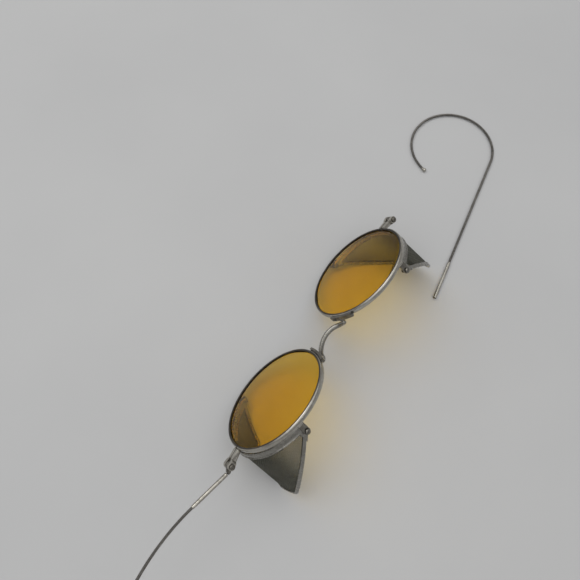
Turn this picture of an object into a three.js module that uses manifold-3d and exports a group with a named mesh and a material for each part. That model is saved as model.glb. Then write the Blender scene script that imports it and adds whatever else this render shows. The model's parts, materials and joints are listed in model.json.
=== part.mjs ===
// Folding side-shield sun spectacles, resting on a table with one ear wire lying loose.
// Millimetres and degrees. Face frame: +X towards the wearer's left, +Y towards the brow, +Z forwards.
import * as THREE from 'three';
import { mergeVertices } from 'three/addons/utils/BufferGeometryUtils.js';
import Module from 'manifold-3d';

const wasm = await Module();
wasm.setup();

// Lenses and eyewires
const LENS_SPACING = 62.7;
const RIM_RADIUS = 23.15;
const RIM_WIDTH = 2.2;
const LIP_RADIUS = 21.95;
const GROOVE_RADIUS = 22.55;
const RIM_SPLIT = 0.5;
const LENS_RADIUS = 22.2;
const LENS_THICKNESS = 1.6;
const LENS_BEVEL = 0.65;
const LENS_CURVE = 130;
const GAP = 0.3;

// Bridge
const FOOT_THICKNESS = 0.9;
const FOOT_FROM = -4;
const FOOT_TO = -31;
const BRIDGE_WIDE = 1.05;
const BRIDGE_THIN = 0.88;

// Temple hinge: distances are from the lens centre
const HINGE_OUT = 29.4;
const HINGE_Y = 0.2;
const HINGE_Z = -2.3;
const KNUCKLE_RADIUS = 1.5;
const KNUCKLE_HEIGHT = 4.2;
const EYE_HEIGHT = 1.2;
const EYE_CLEARANCE = 2.2;
const ENDPIECE_HEIGHT = 2.8;
const PIN_RADIUS = 0.5;
const PIN_BORE = 0.85;

// Temples
const SLEEVE_START = 2.7;
const SLEEVE_LENGTH = { right: 16.2, left: 19.5 };
const SLEEVE_RADIUS = 0.8;
const SLEEVE_BORE = 0.6;
const NECK_OFFSET = 1.8;
const NECK_WIDTH = 1.2;
const TANG_RADIUS = 0.3;
const TANG_LENGTH = 4.0;
const CABLE_RADIUS = 0.6;
const STRAIGHT_LENGTH = 81.5;
const HOOK_RADIUS = 20.6;
const HOOK_SWEEP = 244;
const TIP_RADIUS = 0.95;

// Side shields: angles are about the lens centre, from straight outwards towards the brow
const SHIELD_RADIUS = 23.1;
const SHIELD_OVAL = 1.6;
const SHIELD_FLARE = 0.35;
const BROW_CURL = 3.9;
const SHIELD_FRONT = 4.6;
const SHIELD_TILT = 4;
const SHIELD_DEPTH = 26.6;
const APEX_ANGLE = -16.2;
const APEX_ROUNDING = 0.06;
const CORNER_ANGLE = 79;
const BROW_EDGE_POWER = 1.45;
const CHEEK_EDGE_POWER = 0.96;
const BINDING_WIDTH = 3.0;
const BINDING_REACH = 2.0;
const COLLAR_GAP = 0.4;
const REAR_BINDING_WIDTH = 1.6;
const BINDING_THICKNESS = 1.0;
const BINDING_END = 68;
const GAUZE_THICKNESS = 0.3;
const PIVOT_OUT = 5.0;
const PIVOT_Z = -5.2;
const TAB_Y = 20.85;
const TAB_THICKNESS = 0.6;
const TAB_RADIUS = 1.15;
const TAB_REACH = 7.5;
const TAB_DEPTH = 3.4;
const LUG_HALF_WIDTH = 1.3;
const RIVET_HEAD = 1.1;
const CHEEK_RIVET_TAIL = 0.5;
const BROW_RIVET_TAIL = { right: 3.05, left: 2.3 };

// How it lies on the table
const LEAN = 51.5;
const HEADING = 57.1;
const FACE_TURN = 2.8;
const ROLL = 0.44;
const RIGHT_TEMPLE_OPEN = 102.8;
const TEMPLE_BEND = { right: 20.6, left: 0 };
const BEND_LENGTH = 27;
const LOOSE_TEMPLE_HEADING = 64;
const LOOSE_TEMPLE_AT = [55.2, 21.8];
const SHIELD_SWING = { right: 0, left: 5 };

const rad = THREE.MathUtils.degToRad;

const finishes = {
  nickel: { color: 0x8e8a82, roughness: 0.42, metalness: 0.9 },
  dark_nickel: { color: 0x5d5a54, roughness: 0.5, metalness: 0.85 },
  binding: { color: 0x77746c, roughness: 0.48, metalness: 0.85 },
  gauze: { color: 0x4a4b45, roughness: 0.6, metalness: 0.7 },
  cable: { color: 0x7c7972, roughness: 0.45, metalness: 0.9 },
  lens: { color: 0xc98f28, roughness: 0.08, metalness: 0.0 },
};

function piece(name, geometry, finish) {
  const mesh = new THREE.Mesh(geometry, new THREE.MeshStandardMaterial(finishes[finish]));
  mesh.name = name;
  return mesh;
}

function toSolid(geometry) {
  const bare = geometry.clone();
  bare.deleteAttribute('normal');
  bare.deleteAttribute('uv');
  const merged = mergeVertices(bare, 1e-4);
  return new wasm.Manifold(new wasm.Mesh({
    numProp: 3,
    vertProperties: Float32Array.from(merged.attributes.position.array),
    triVerts: Uint32Array.from(merged.index.array),
  }));
}

function toGeometry(solid) {
  const mesh = solid.getMesh();
  const geometry = new THREE.BufferGeometry();
  geometry.setAttribute('position', new THREE.BufferAttribute(Float32Array.from(mesh.vertProperties), 3));
  geometry.setIndex(new THREE.BufferAttribute(Uint32Array.from(mesh.triVerts), 1));
  geometry.computeVertexNormals();
  return geometry;
}

// A closed ring or disc about the face frame's Z axis, from [radius, z] points.
function turned(profile, segments) {
  const points = profile.map(([radius, z]) => new THREE.Vector2(radius, z));
  const geometry = new THREE.LatheGeometry(points, segments);
  geometry.rotateX(Math.PI / 2);
  return geometry;
}

// A pin about the Y axis, from [radius, y] points that start and end on the axis.
function pinAlongY(profile) {
  return new THREE.LatheGeometry(profile.map(([radius, y]) => new THREE.Vector2(radius, y)), 20);
}

// A plate whose outline is drawn in X and Z, and which stands from yLow to yHigh.
function plateXZ(drawOutline, yLow, yHigh) {
  const shape = new THREE.Shape();
  drawOutline(shape);
  const depth = yHigh - yLow;
  const geometry = new THREE.ExtrudeGeometry(shape, { depth, bevelEnabled: false, curveSegments: 10 });
  geometry.rotateX(Math.PI / 2);
  geometry.translate(0, yHigh, 0);
  return geometry;
}

// A long round cutter about an axis that runs along Y.
function boreAlongY(x, z, radius) {
  const bore = new THREE.CylinderGeometry(radius, radius, 80, 20);
  bore.translate(x, 0, z);
  return bore;
}

// Lens and eyewire

function eyewire() {
  const groove = -RIM_WIDTH / 2;
  const ring = turned([
    [LIP_RADIUS, 0],
    [GROOVE_RADIUS, groove + 0.35],
    [GROOVE_RADIUS, groove - 0.35],
    [LIP_RADIUS, -RIM_WIDTH],
    [RIM_RADIUS - 0.25, -RIM_WIDTH],
    [RIM_RADIUS, 0.25 - RIM_WIDTH],
    [RIM_RADIUS, -0.25],
    [RIM_RADIUS - 0.25, 0],
    [LIP_RADIUS, 0],
  ], 96);
  const split = new THREE.BoxGeometry(4, RIM_SPLIT, 2 * RIM_WIDTH);
  split.translate(-RIM_RADIUS, HINGE_Y, -RIM_WIDTH / 2);
  return toGeometry(toSolid(ring).subtract(toSolid(split)));
}

function lens() {
  const middle = -RIM_WIDTH / 2;
  const edge = LENS_RADIUS - LENS_BEVEL;
  const bulge = (radius) => Math.sqrt(LENS_CURVE ** 2 - radius ** 2) - Math.sqrt(LENS_CURVE ** 2 - edge ** 2);
  const front = [];
  const back = [];
  const rings = 8;
  for (let i = 0; i <= rings; i += 1) {
    const radius = (edge * i) / rings;
    front.push([radius, middle + LENS_THICKNESS / 2 + bulge(radius)]);
    back.push([radius, middle - LENS_THICKNESS / 2 + bulge(radius)]);
  }
  return turned([...back, [LENS_RADIUS, middle], ...front.reverse()], 64);
}

// Bridge

// The bridge wire's route in the face frame, from the right foot over the nose to the left foot.
// It was bent by hand, so its halves differ a little.
const BRIDGE_ROUTE = [
  [-8.3, -7.3, -3.9],
  [-8.6, -6.9, -5.3],
  [-9.1, -5.5, -6.8],
  [-8.3, -3.7, -7.3],
  [-5.8, -1.1, -6.9],
  [-2.8, 0.5, -6.4],
  [0, 1.2, -6.1],
  [2.8, 1.3, -6.1],
  [5.8, 0.4, -6.4],
  [8.3, -1.9, -6.9],
  [9.1, -4.0, -6.5],
  [8.6, -5.9, -5.2],
  [8.3, -6.4, -3.9],
];

// A closed wire along a path, with its own half widths across and along the reference direction.
function wire(path, steps, sides, reference, halfAcross, halfAlong) {
  const tube = new THREE.CylinderGeometry(1, 1, 1, sides, steps);
  const positions = tube.attributes.position;
  for (let i = 0; i < positions.count; i += 1) {
    const t = 0.5 + positions.getY(i);
    const tangent = path.getTangentAt(t);
    const across = tangent.clone().cross(reference).normalize();
    const along = across.clone().cross(tangent);
    const point = path.getPointAt(t);
    point.addScaledVector(across, positions.getX(i) * halfAcross(t));
    point.addScaledVector(along, positions.getZ(i) * halfAlong(t));
    positions.setXYZ(i, point.x, point.y, point.z);
  }
  tube.computeVertexNormals();
  return tube;
}

function bridgeWire() {
  const points = BRIDGE_ROUTE.map(([x, y, z]) => new THREE.Vector3(x, y, z));
  const path = new THREE.CatmullRomCurve3(points, false, 'centripetal');
  const atFoot = (t) => Math.max(0, Math.abs(2 * t - 1) - 0.7) / 0.3;
  const halfWide = (t) => BRIDGE_WIDE + (BRIDGE_THIN - BRIDGE_WIDE) * atFoot(t);
  return wire(path, 56, 12, new THREE.Vector3(0, 1, 0), halfWide, () => BRIDGE_THIN);
}

// A curved plate against the nasal side of the eyewire, drawn about the lens centre.
function bridgeFoot() {
  const inner = RIM_RADIUS + GAP;
  const outer = inner + FOOT_THICKNESS;
  const from = rad(FOOT_TO);
  const to = rad(FOOT_FROM);
  const shape = new THREE.Shape();
  shape.absarc(0, 0, outer, from, to, false);
  shape.absarc(0, 0, inner, to, from, true);
  const depth = RIM_WIDTH - 0.2;
  const geometry = new THREE.ExtrudeGeometry(shape, { depth, bevelEnabled: false, curveSegments: 10 });
  geometry.translate(0, 0, -(RIM_WIDTH + depth) / 2);
  return geometry;
}

// Endpiece halves and the temple hinge, drawn on the wearer's right (outwards is -X)

function endpieceHalf(isUpper) {
  const sign = isUpper ? 1 : -1;
  const rimEnd = -(RIM_RADIUS + GAP);
  const inner = RIM_SPLIT / 2 - 0.05;
  const eyeSlot = EYE_HEIGHT / 2 + GAP;
  const bar = ENDPIECE_HEIGHT / 2;
  const outer = KNUCKLE_HEIGHT / 2;
  const step = -(HINGE_OUT - EYE_CLEARANCE);
  const end = -(HINGE_OUT + KNUCKLE_RADIUS + 1);
  const side = new THREE.Shape();
  side.moveTo(rimEnd, sign * inner);
  side.lineTo(rimEnd, sign * bar);
  side.lineTo(step, sign * bar);
  side.lineTo(step - 0.6, sign * outer);
  side.lineTo(end, sign * outer);
  side.lineTo(end, sign * eyeSlot);
  side.lineTo(step, sign * eyeSlot);
  side.lineTo(step, sign * inner);
  const block = new THREE.ExtrudeGeometry(side, { depth: 8, bevelEnabled: false });
  block.translate(0, HINGE_Y, -6);
  const plan = plateXZ((shape) => {
    shape.moveTo(rimEnd, -0.3);
    shape.lineTo(rimEnd, -2.0);
    shape.lineTo(-HINGE_OUT + 1.4, HINGE_Z - 0.9);
    shape.lineTo(-HINGE_OUT, HINGE_Z - KNUCKLE_RADIUS);
    shape.absarc(-HINGE_OUT, HINGE_Z, KNUCKLE_RADIUS, -Math.PI / 2, Math.PI / 2, true);
    shape.lineTo(-HINGE_OUT + 1.4, HINGE_Z + KNUCKLE_RADIUS - 0.1);
  }, HINGE_Y - 5, HINGE_Y + 5);
  const bore = boreAlongY(-HINGE_OUT, HINGE_Z, PIN_BORE);
  return toGeometry(toSolid(plan).intersect(toSolid(block)).subtract(toSolid(bore)));
}

function hingeScrew() {
  const cheekFace = -KNUCKLE_HEIGHT / 2 - GAP;
  const browFace = KNUCKLE_HEIGHT / 2;
  const screw = pinAlongY([
    [0, cheekFace - 0.45],
    [0.85, cheekFace - 0.45],
    [1.05, cheekFace - 0.25],
    [1.05, cheekFace],
    [PIN_RADIUS, cheekFace],
    [PIN_RADIUS, browFace + GAP],
    [0.7, browFace + GAP + 0.2],
    [0.7, browFace + 1.1],
    [0.4, browFace + 1.45],
    [0, browFace + 1.5],
  ]);
  const slot = new THREE.BoxGeometry(3, 0.6, 0.3);
  slot.translate(0, cheekFace - 0.5, 0);
  const cut = toGeometry(toSolid(screw).subtract(toSolid(slot)));
  cut.translate(-HINGE_OUT, HINGE_Y, HINGE_Z);
  return cut;
}

// Temples, drawn from the hinge axis straight back along -Z, with the hook towards -Y

function eyeBlank() {
  const eye = new THREE.CylinderGeometry(KNUCKLE_RADIUS, KNUCKLE_RADIUS, EYE_HEIGHT, 28);
  return toSolid(eye);
}

function templeEye() {
  return toGeometry(eyeBlank().subtract(toSolid(boreAlongY(0, 0, PIN_BORE))));
}

function templeButt() {
  const neckEnd = GAP - SLEEVE_START;
  const neck = plateXZ((shape) => {
    shape.moveTo(KNUCKLE_RADIUS - 0.1, 0);
    shape.lineTo(NECK_OFFSET + NECK_WIDTH / 2, neckEnd + 0.9);
    shape.lineTo(NECK_OFFSET + NECK_WIDTH / 2, neckEnd);
    shape.lineTo(NECK_OFFSET - NECK_WIDTH / 2, neckEnd);
    shape.lineTo(-0.4, 0.2 - KNUCKLE_RADIUS);
  }, -EYE_HEIGHT / 2, EYE_HEIGHT / 2);
  const tang = new THREE.CylinderGeometry(TANG_RADIUS, TANG_RADIUS, TANG_LENGTH, 16);
  tang.rotateX(Math.PI / 2);
  tang.translate(NECK_OFFSET, 0, neckEnd + 0.5 - TANG_LENGTH / 2);
  const bore = toSolid(boreAlongY(0, 0, PIN_BORE));
  return toGeometry(eyeBlank().add(toSolid(neck)).subtract(bore).add(toSolid(tang)));
}

function templeSleeve(side) {
  const end = -SLEEVE_LENGTH[side];
  return turned([
    [SLEEVE_BORE, 0],
    [SLEEVE_BORE, end],
    [SLEEVE_BORE + 0.08, end],
    [SLEEVE_RADIUS, end + 1.2],
    [SLEEVE_RADIUS, 0],
    [SLEEVE_BORE, 0],
  ], 16);
}

// The route after the sleeve: a gentle bend about the Y axis, straight back, then round the ear.
class EarRoute extends THREE.Curve {
  constructor(side, start, end) {
    super();
    this.start = start;
    this.end = end;
    this.bend = rad(TEMPLE_BEND[side]);
    this.straight = STRAIGHT_LENGTH - SLEEVE_LENGTH[side];
  }

  getPoint(t, target = new THREE.Vector3()) {
    const along = this.start + (this.end - this.start) * t;
    const bent = Math.min(along, BEND_LENGTH);
    const half = this.bend * bent / BEND_LENGTH / 2;
    const chord = bent * (half ? Math.sin(half) / half : 1);
    const past = Math.max(0, along - this.straight);
    const turn = past / HOOK_RADIUS;
    const back = along - bent - past + HOOK_RADIUS * Math.sin(turn);
    target.set(0, HOOK_RADIUS * (Math.cos(turn) - 1), -back);
    target.applyAxisAngle(new THREE.Vector3(0, 1, 0), -2 * half);
    target.x += chord * Math.sin(half);
    target.z -= chord * Math.cos(half);
    return target;
  }
}

const cableEnd = (side) => STRAIGHT_LENGTH - SLEEVE_LENGTH[side] + HOOK_RADIUS * rad(HOOK_SWEEP);

function templeCable(side) {
  const radius = () => CABLE_RADIUS;
  const route = new EarRoute(side, GAP, cableEnd(side));
  return wire(route, 76, 8, new THREE.Vector3(1, 0, 0), radius, radius);
}

function templeTip(side) {
  const ball = new THREE.SphereGeometry(TIP_RADIUS, 14, 10);
  const centre = new EarRoute(side, 0, cableEnd(side) + GAP + TIP_RADIUS).getPoint(1);
  ball.translate(centre.x, centre.y, centre.z);
  return ball;
}

// Sleeve, cable and tip.
function templeRun(side) {
  const run = new THREE.Group();
  const ear = new THREE.Group();
  ear.add(piece(`${side}_temple_cable`, templeCable(side), 'cable'));
  ear.add(piece(`${side}_temple_tip`, templeTip(side), 'nickel'));
  ear.position.z = -SLEEVE_LENGTH[side];
  run.add(piece(`${side}_temple_sleeve`, templeSleeve(side), 'nickel'), ear);
  return run;
}

function hingedTemple() {
  const temple = new THREE.Group();
  const run = templeRun('right');
  run.position.set(NECK_OFFSET, 0, -SLEEVE_START);
  temple.add(piece('right_temple_butt', templeButt(), 'dark_nickel'), run);
  temple.position.set(-HINGE_OUT, HINGE_Y, HINGE_Z);
  temple.rotation.y = rad(RIGHT_TEMPLE_OPEN);
  return temple;
}

// Side shields, drawn about the lens centre on the wearer's right

// How far behind its front edge the shield reaches at an angle.
function rearDepth(angle) {
  const browSide = angle > APEX_ANGLE;
  const corner = browSide ? CORNER_ANGLE : -CORNER_ANGLE;
  const power = browSide ? BROW_EDGE_POWER : CHEEK_EDGE_POWER;
  const share = Math.min(1, (angle - APEX_ANGLE) / (corner - APEX_ANGLE));
  const rounded = Math.hypot(share, APEX_ROUNDING) - APEX_ROUNDING * (1 - share);
  return SHIELD_DEPTH * (1 - Math.min(1, rounded) ** power);
}

// A point of the shield: angle about the lens, depth behind its front edge, and distance off its mid surface.
function shieldPoint(angle, depth, off) {
  const share = depth / SHIELD_DEPTH;
  const oval = SHIELD_OVAL * Math.sin(rad(angle)) ** 2;
  const curl = angle > 0 ? BROW_CURL * share * Math.sin(rad(2 * angle)) : 0;
  const radius = SHIELD_RADIUS - oval - curl + SHIELD_FLARE * share + off;
  return new THREE.Vector3(
    -radius * Math.cos(rad(angle)),
    radius * Math.sin(rad(angle)),
    -SHIELD_FRONT - depth,
  );
}

// A band of the shield between two angles. depthFrom and depthTo give its front and back edges at an angle.
function shieldBand(angleFrom, angleTo, depthFrom, depthTo, thickness, alongSteps, depthSteps) {
  const band = new THREE.BoxGeometry(1, 1, 1, alongSteps, depthSteps, 1);
  const positions = band.attributes.position;
  for (let i = 0; i < positions.count; i += 1) {
    const angle = angleFrom + (angleTo - angleFrom) * (0.5 + positions.getX(i));
    const across = 0.5 + positions.getY(i);
    const depth = depthFrom(angle) + (depthTo(angle) - depthFrom(angle)) * across;
    const point = shieldPoint(angle, depth, -thickness * positions.getZ(i));
    positions.setXYZ(i, point.x, point.y, point.z);
  }
  band.computeVertexNormals();
  return band;
}

// The front binding follows the back of the eyewire, whatever the shield's tilt and swing.
function frontDepth(angle, swing) {
  const edge = shieldPoint(angle, 0, 0);
  const tiltedBy = edge.y * Math.sin(rad(SHIELD_TILT));
  const swungBy = (edge.x + PIVOT_OUT) * Math.sin(rad(swing));
  const behindRim = -(RIM_WIDTH + COLLAR_GAP + tiltedBy) / Math.cos(rad(SHIELD_TILT));
  return -SHIELD_FRONT - PIVOT_Z - (behindRim - PIVOT_Z + swungBy) / Math.cos(rad(swing));
}

function bindingRear(angle, swing) {
  return Math.min(frontDepth(angle, swing) + BINDING_WIDTH, BINDING_REACH);
}

function frontBinding(swing) {
  const front = (angle) => frontDepth(angle, swing);
  const rear = (angle) => bindingRear(angle, swing);
  return shieldBand(BINDING_END, -BINDING_END, front, rear, BINDING_THICKNESS, 36, 1);
}

// The rear binding's inner edge runs parallel to its sloping rear edge.
function rearInner(angle) {
  const slope = (rearDepth(angle + 1) - rearDepth(angle - 1)) / (2 * rad(1) * SHIELD_RADIUS);
  return rearDepth(angle) - REAR_BINDING_WIDTH * Math.min(1.5, Math.hypot(1, slope));
}

function rearBinding() {
  return shieldBand(BINDING_END - 1, 1 - BINDING_END, rearInner, rearDepth, BINDING_THICKNESS, 60, 1);
}

function gauze(swing) {
  const front = (angle) => bindingRear(angle, swing) + GAP;
  const rear = (angle) => Math.max(rearInner(angle) - 1.6 * GAP, front(angle) + GAP);
  return shieldBand(BINDING_END - 3, 1 - BINDING_END, front, rear, GAUZE_THICKNESS, 40, 8);
}

function cornerTab(sign) {
  const low = sign * TAB_Y - TAB_THICKNESS / 2;
  const plate = plateXZ((shape) => {
    shape.absarc(-PIVOT_OUT, PIVOT_Z, TAB_RADIUS, Math.PI / 2, -Math.PI / 2, false);
    shape.lineTo(-TAB_REACH, PIVOT_Z - TAB_DEPTH);
    shape.lineTo(-TAB_REACH, PIVOT_Z + TAB_RADIUS);
  }, low, low + TAB_THICKNESS);
  return toGeometry(toSolid(plate).subtract(toSolid(boreAlongY(-PIVOT_OUT, PIVOT_Z, PIN_BORE))));
}

// The lug stands behind the eyewire, so its front end allows for the shield's tilt.
function cornerLug(sign) {
  const inner = TAB_Y + TAB_THICKNESS / 2 + GAP;
  const low = sign > 0 ? inner : -inner - TAB_THICKNESS;
  const front = -RIM_WIDTH - GAP - sign * inner * Math.tan(rad(SHIELD_TILT));
  const plate = plateXZ((shape) => {
    shape.moveTo(LUG_HALF_WIDTH - PIVOT_OUT, front);
    shape.lineTo(-LUG_HALF_WIDTH - PIVOT_OUT, front);
    shape.absarc(-PIVOT_OUT, PIVOT_Z, LUG_HALF_WIDTH, Math.PI, 2 * Math.PI, false);
  }, low, low + TAB_THICKNESS);
  return toGeometry(toSolid(plate).subtract(toSolid(boreAlongY(-PIVOT_OUT, PIVOT_Z, PIN_BORE))));
}

// The brow rivets' tails are left long, and the spectacles lie on them.
function cornerRivet(sign, tailLength) {
  const inside = TAB_Y - TAB_THICKNESS / 2 - GAP;
  const outside = TAB_Y + 1.5 * TAB_THICKNESS + 2 * GAP;
  const tail = outside + tailLength;
  const rivet = pinAlongY([
    [0, inside - 0.5],
    [0.8, inside - 0.4],
    [RIVET_HEAD, inside - 0.15],
    [RIVET_HEAD, inside],
    [PIN_RADIUS, inside],
    [PIN_RADIUS, outside],
    [RIVET_HEAD, outside],
    [RIVET_HEAD, tail - 0.45],
    [0.8, tail - 0.15],
    [0, tail],
  ]);
  if (sign < 0) {
    rivet.rotateX(Math.PI);
  }
  rivet.translate(-PIVOT_OUT, 0, PIVOT_Z);
  return rivet;
}

// Everything that repeats on the two sides, drawn on the right and mirrored for the left

const rimPieces = [
  ['eyewire', eyewire(), 'nickel'],
  ['lens', lens(), 'lens'],
  ['endpiece_upper', endpieceHalf(true), 'nickel'],
  ['endpiece_lower', endpieceHalf(false), 'nickel'],
  ['hinge_screw', hingeScrew(), 'dark_nickel'],
  ['bridge_foot', bridgeFoot(), 'dark_nickel'],
];

const cornerPieces = [
  ['brow_lug', cornerLug(1), 'nickel'],
  ['cheek_lug', cornerLug(-1), 'nickel'],
  ['cheek_rivet', cornerRivet(-1, CHEEK_RIVET_TAIL), 'dark_nickel'],
];

const shieldPieces = (swing) => [
  ['shield_gauze', gauze(swing), 'gauze'],
  ['shield_front_binding', frontBinding(swing), 'binding'],
  ['shield_rear_binding', rearBinding(), 'binding'],
  ['shield_brow_tab', cornerTab(1), 'binding'],
  ['shield_cheek_tab', cornerTab(-1), 'binding'],
];

function lensSide(side) {
  const group = new THREE.Group();
  const corners = new THREE.Group();
  const shield = new THREE.Group();
  const named = ([name, geometry, finish]) => piece(`${side}_${name}`, geometry, finish);
  group.add(...rimPieces.map(named));
  corners.add(...cornerPieces.map(named));
  corners.add(named(['brow_rivet', cornerRivet(1, BROW_RIVET_TAIL[side]), 'dark_nickel']));
  shield.add(...shieldPieces(SHIELD_SWING[side]).map(named));
  const mirror = side === 'right' ? 1 : -1;
  const swing = new THREE.Group();
  shield.position.set(PIVOT_OUT, 0, -PIVOT_Z);
  swing.add(shield);
  swing.position.set(-PIVOT_OUT, 0, PIVOT_Z);
  swing.rotation.y = rad(SHIELD_SWING[side]);
  corners.add(swing);
  corners.rotation.x = rad(SHIELD_TILT);
  group.add(corners);
  group.position.x = (-mirror * LENS_SPACING) / 2;
  group.rotation.y = rad(mirror * FACE_TURN);
  group.scale.x = mirror;
  return group;
}

function spectacles() {
  const group = new THREE.Group();
  const right = lensSide('right');
  const left = lensSide('left');
  const leftEye = piece('left_temple_eye', templeEye(), 'dark_nickel');
  leftEye.position.set(-HINGE_OUT, HINGE_Y, HINGE_Z);
  right.add(hingedTemple());
  left.add(leftEye);
  group.add(right, left, piece('bridge_wire', bridgeWire(), 'dark_nickel'));
  return group;
}

// Lower or raise an object until its lowest point is on the table.
function restOnTable(object) {
  object.updateMatrixWorld(true);
  const bounds = new THREE.Box3().setFromObject(object, true);
  object.position.z -= bounds.min.z;
}

function leaningSpectacles() {
  const leaning = spectacles();
  leaning.rotation.x = rad(-LEAN);
  const rolled = new THREE.Group();
  rolled.add(leaning);
  rolled.rotation.y = rad(ROLL);
  const turnedRound = new THREE.Group();
  turnedRound.add(rolled);
  turnedRound.rotation.z = rad(HEADING);
  restOnTable(turnedRound);
  return turnedRound;
}

function looseTemple() {
  const flat = templeRun('left');
  const heading = rad(LOOSE_TEMPLE_HEADING);
  const along = new THREE.Vector3(Math.cos(heading), Math.sin(heading), 0);
  const hookwards = new THREE.Vector3(-along.y, along.x, 0);
  const axes = new THREE.Matrix4().makeBasis(
    new THREE.Vector3(0, 0, -1), hookwards.clone().negate(), along.clone().negate(),
  );
  flat.quaternion.setFromRotationMatrix(axes);
  flat.position.set(LOOSE_TEMPLE_AT[0], LOOSE_TEMPLE_AT[1], 0);
  restOnTable(flat);
  return flat;
}

const part = new THREE.Group();
part.add(leaningSpectacles(), looseTemple());
part.updateMatrixWorld(true);
const footprint = new THREE.Box3().setFromObject(part, true).getCenter(new THREE.Vector3());
part.position.set(-footprint.x, -footprint.y, 0);

export default part;
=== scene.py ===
import json
import math

import bpy
import numpy as np
from mathutils import Matrix, Vector


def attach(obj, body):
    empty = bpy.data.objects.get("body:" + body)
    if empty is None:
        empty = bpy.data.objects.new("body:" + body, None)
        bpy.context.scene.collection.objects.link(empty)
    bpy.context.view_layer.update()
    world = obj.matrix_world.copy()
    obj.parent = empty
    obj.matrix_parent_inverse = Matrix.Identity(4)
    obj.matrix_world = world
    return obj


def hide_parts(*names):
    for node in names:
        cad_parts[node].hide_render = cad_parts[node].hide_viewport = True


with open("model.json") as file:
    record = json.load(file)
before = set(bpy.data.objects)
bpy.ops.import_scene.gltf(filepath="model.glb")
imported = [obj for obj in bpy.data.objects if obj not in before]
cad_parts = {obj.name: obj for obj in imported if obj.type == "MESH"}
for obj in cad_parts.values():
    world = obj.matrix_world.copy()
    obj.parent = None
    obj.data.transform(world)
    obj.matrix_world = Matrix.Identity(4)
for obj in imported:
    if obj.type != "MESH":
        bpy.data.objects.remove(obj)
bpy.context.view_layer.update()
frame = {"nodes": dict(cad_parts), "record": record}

MM = 0.001

# The part's own measures, in millimetres and degrees, as its source gives them
LENS_SPACING = 62.7
RIM_RADIUS = 23.15
RIM_WIDTH = 2.2
LIP_RADIUS = 21.95
GROOVE_RADIUS = 22.55
RIM_SPLIT = 0.5
LENS_RADIUS = 22.2
LENS_THICKNESS = 1.6
LENS_BEVEL = 0.65
LENS_CURVE = 130.0
GAP = 0.3
FOOT_FROM = -4.0
FOOT_TO = -31.0
HINGE = (-29.4, 0.2, -2.3)
SLEEVE_START = 2.7
SLEEVE_LENGTH = {"right": 16.2, "left": 19.5}
SLEEVE_RADIUS = 0.8
SLEEVE_BORE = 0.6
NECK_OFFSET = 1.8
CABLE_RADIUS = 0.6
STRAIGHT_LENGTH = 81.5
HOOK_RADIUS = 20.6
HOOK_SWEEP = 244.0
TIP_RADIUS = 0.95
SHIELD_RADIUS = 23.1
SHIELD_OVAL = 1.6
SHIELD_FLARE = 0.35
BROW_CURL = 3.9
SHIELD_FRONT = 4.6
SHIELD_TILT = 4.0
SHIELD_DEPTH = 26.6
APEX_ANGLE = -16.2
APEX_ROUNDING = 0.06
CORNER_ANGLE = 79.0
BROW_EDGE_POWER = 1.45
CHEEK_EDGE_POWER = 0.96
BINDING_WIDTH = 3.0
BINDING_REACH = 2.0
COLLAR_GAP = 0.4
REAR_BINDING_WIDTH = 1.6
BINDING_THICKNESS = 1.0
BINDING_END = 68.0
PIVOT = (-5.0, 0.0, -5.2)
TAB_Y = 20.85
TAB_THICKNESS = 0.6
LUG_HALF_WIDTH = 1.3
RIVET_HEAD = 1.1
PIN_RADIUS = 0.5
CHEEK_RIVET_TAIL = 0.5
BROW_RIVET_TAIL = {"right": 3.05, "left": 2.3}
LEAN = 51.5
HEADING = 57.1
FACE_TURN = 2.8
ROLL = 0.44
RIGHT_TEMPLE_OPEN = 102.8
TEMPLE_BEND = {"right": 20.6, "left": 0.0}
BEND_LENGTH = 27.0
LOOSE_TEMPLE_HEADING = 64.0
SHIELD_SWING = {"right": 0.0, "left": 5.0}
BRIDGE_WIDE = 1.05
BRIDGE_THIN = 0.88
BRIDGE_ROUTE = [
    (-8.3, -7.3, -3.9),
    (-8.6, -6.9, -5.3),
    (-9.1, -5.5, -6.8),
    (-8.3, -3.7, -7.3),
    (-5.8, -1.1, -6.9),
    (-2.8, 0.5, -6.4),
    (0.0, 1.2, -6.1),
    (2.8, 1.3, -6.1),
    (5.8, 0.4, -6.4),
    (8.3, -1.9, -6.9),
    (9.1, -4.0, -6.5),
    (8.6, -5.9, -5.2),
    (8.3, -6.4, -3.9),
]

# Fine detail that only the visual pieces carry, in millimetres and degrees
RIM_CROWN = 0.42
RIVET_DOME = 0.38
RIVET_ROUNDING = 0.45
FOLD_SHEET = 0.26
FRONT_FOLD_END = 75.0
REAR_FOLD_END = 72.0
FRONT_BEAD = 0.3
REAR_BEAD = 0.14
BEAD_FADE = 22.0
STEEPEST_WIDENING = 1.5
WEAVE_PITCH = 0.5
WEAVE_WIRE = 0.12
WEAVE_TUCK = 0.9
SHORTEST_WEAVE = 4
BRIDGE_FOOT_SHARE = 0.3
BRIDGE_END_LENGTH = 0.5
BRIDGE_END_LEAST = 0.35
SLEEVE_CRIMPS = (2.2, 3.6)
WINDING_WIRE = 0.17
WINDING_PITCH = 0.37
WINDING_OVERLAP = 0.3

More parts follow.
